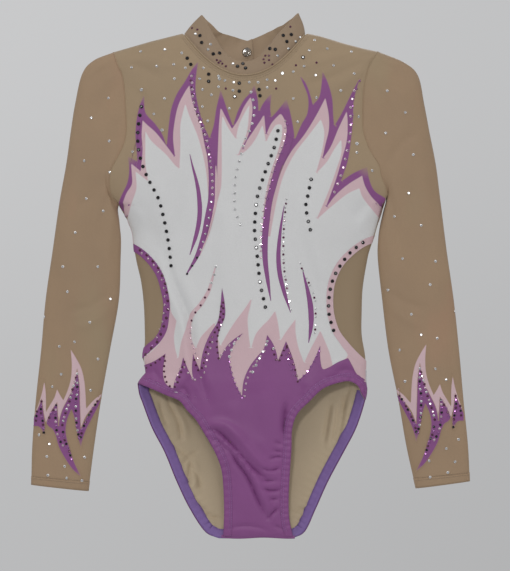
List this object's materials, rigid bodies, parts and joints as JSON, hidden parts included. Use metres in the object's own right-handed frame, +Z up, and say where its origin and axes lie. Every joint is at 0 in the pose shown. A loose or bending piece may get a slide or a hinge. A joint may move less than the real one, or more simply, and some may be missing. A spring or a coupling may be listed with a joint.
{
  "type": "gymnastics leotard",
  "caption": "Long-sleeved child's gymnastics leotard with flame appliques, side cut-outs, lined brief, stand collar and a snapped keyhole back.",
  "frame": {"origin": "the hanger seat: on the centre plane, at mid depth, level with the point where the shoulder seams meet the collar", "axes": "+Z up as the garment hangs, -Y is the front, +X is the wearer's left side"},
  "size_m": [0.494, 0.0537, 0.5859],
  "materials": {
    "nude_knit": "matte four-way stretch knit",
    "nude_mesh": "matte power mesh, slightly see-through",
    "white_knit": "matte milliskin knit",
    "pink_knit": "matte milliskin knit",
    "purple_knit": "soft satin stretch knit",
    "lining_tricot": "matte tricot lining",
    "elastic": "flat braided elastic",
    "snap_plastic": "clear moulded plastic",
    "rhinestone_clear": "faceted, foil backed",
    "rhinestone_dark": "faceted jet, foil backed",
    "rhinestone_colour": "faceted rose and violet, foil backed",
    "thread": "polyester thread"
  },
  "bodies": {
    "torso": {"front_body": "nude_knit", "back_body": "nude_knit", "keyhole_binding": "nude_knit", "flame_purple_applique": "purple_knit", "flame_pink_applique": "pink_knit", "white_flame_panel": "white_knit", "accent_blade_right": "purple_knit", "accent_ribbon_long": "purple_knit", "accent_blade_centre": "purple_knit", "accent_blade_left": "purple_knit", "accent_ribbon_chest": "purple_knit", "side_trim_right": "purple_knit", "side_trim_left": "pink_knit", "waist_flame_pink_applique": "pink_knit", "brief_front": "purple_knit", "brief_front_lining": "lining_tricot", "brief_back": "purple_knit", "brief_back_lining": "lining_tricot", "crotch_liner": "lining_tricot", "crotch_seam": "purple_knit", "leg_binding_front_right": "purple_knit", "leg_binding_back_right": "purple_knit", "leg_elastic_front_right": "elastic", "leg_elastic_back_right": "elastic", "leg_binding_front_left": "purple_knit", "leg_binding_back_left": "purple_knit", "leg_elastic_front_left": "elastic", "leg_elastic_back_left": "elastic", "collar_front": "nude_knit", "collar_seam_front": "nude_knit", "collar_seam_back_left": "nude_knit", "collar_seam_back_right": "nude_knit", "sleeve_cap_right": "nude_mesh", "sleeve_cap_left": "nude_mesh"},
    "right_sleeve": {"sleeve_upper_right": "nude_mesh"},
    "left_sleeve": {"sleeve_upper_left": "nude_mesh"},
    "right_forearm": {"sleeve_forearm_right": "nude_mesh", "cuff_hem_right": "nude_mesh", "cuff_flame_pink_right": "pink_knit", "cuff_flame_purple_right": "purple_knit"},
    "left_forearm": {"sleeve_forearm_left": "nude_mesh", "cuff_hem_left": "nude_mesh", "cuff_flame_pink_left": "pink_knit", "cuff_flame_purple_left": "purple_knit"},
    "left_tab": {"collar_tab_left": "nude_knit", "snap_cap_outer": "snap_plastic", "snap_socket": "snap_plastic"},
    "right_tab": {"collar_tab_right": "nude_knit", "snap_stud": "snap_plastic", "snap_cap_inner": "snap_plastic"}
  },
  "joints": [
    {"name": "right_shoulder_swing", "type": "hinge", "parent": "torso", "child": "right_sleeve", "pos_m": [-0.2037, 0, -0.122], "axis": [0, 1, 0], "range_deg": [0, 60]},
    {"name": "left_shoulder_swing", "type": "hinge", "parent": "torso", "child": "left_sleeve", "pos_m": [0.2022, 0, -0.122], "axis": [0, -1, 0], "range_deg": [0, 60]},
    {"name": "right_elbow_bend", "type": "hinge", "parent": "right_sleeve", "child": "right_forearm", "pos_m": [-0.189, -0.0112, -0.3153], "axis": [-0.9929, 0, 0.119], "range_deg": [0, 135]},
    {"name": "left_elbow_bend", "type": "hinge", "parent": "left_sleeve", "child": "left_forearm", "pos_m": [0.188, -0.0112, -0.3153], "axis": [-0.9929, 0, -0.119], "range_deg": [0, 135]},
    {"name": "left_tab_opening", "type": "hinge", "parent": "torso", "child": "left_tab", "pos_m": [0.0444, 0.0125, -0.003], "axis": [0.1821, 0.0595, -0.9815], "range_deg": [0, 70]},
    {"name": "right_tab_opening", "type": "hinge", "parent": "torso", "child": "right_tab", "pos_m": [-0.0514, 0.0117, -0.003], "axis": [-0.6124, 0.0478, -0.7891], "range_deg": [0, 20]}
  ]
}
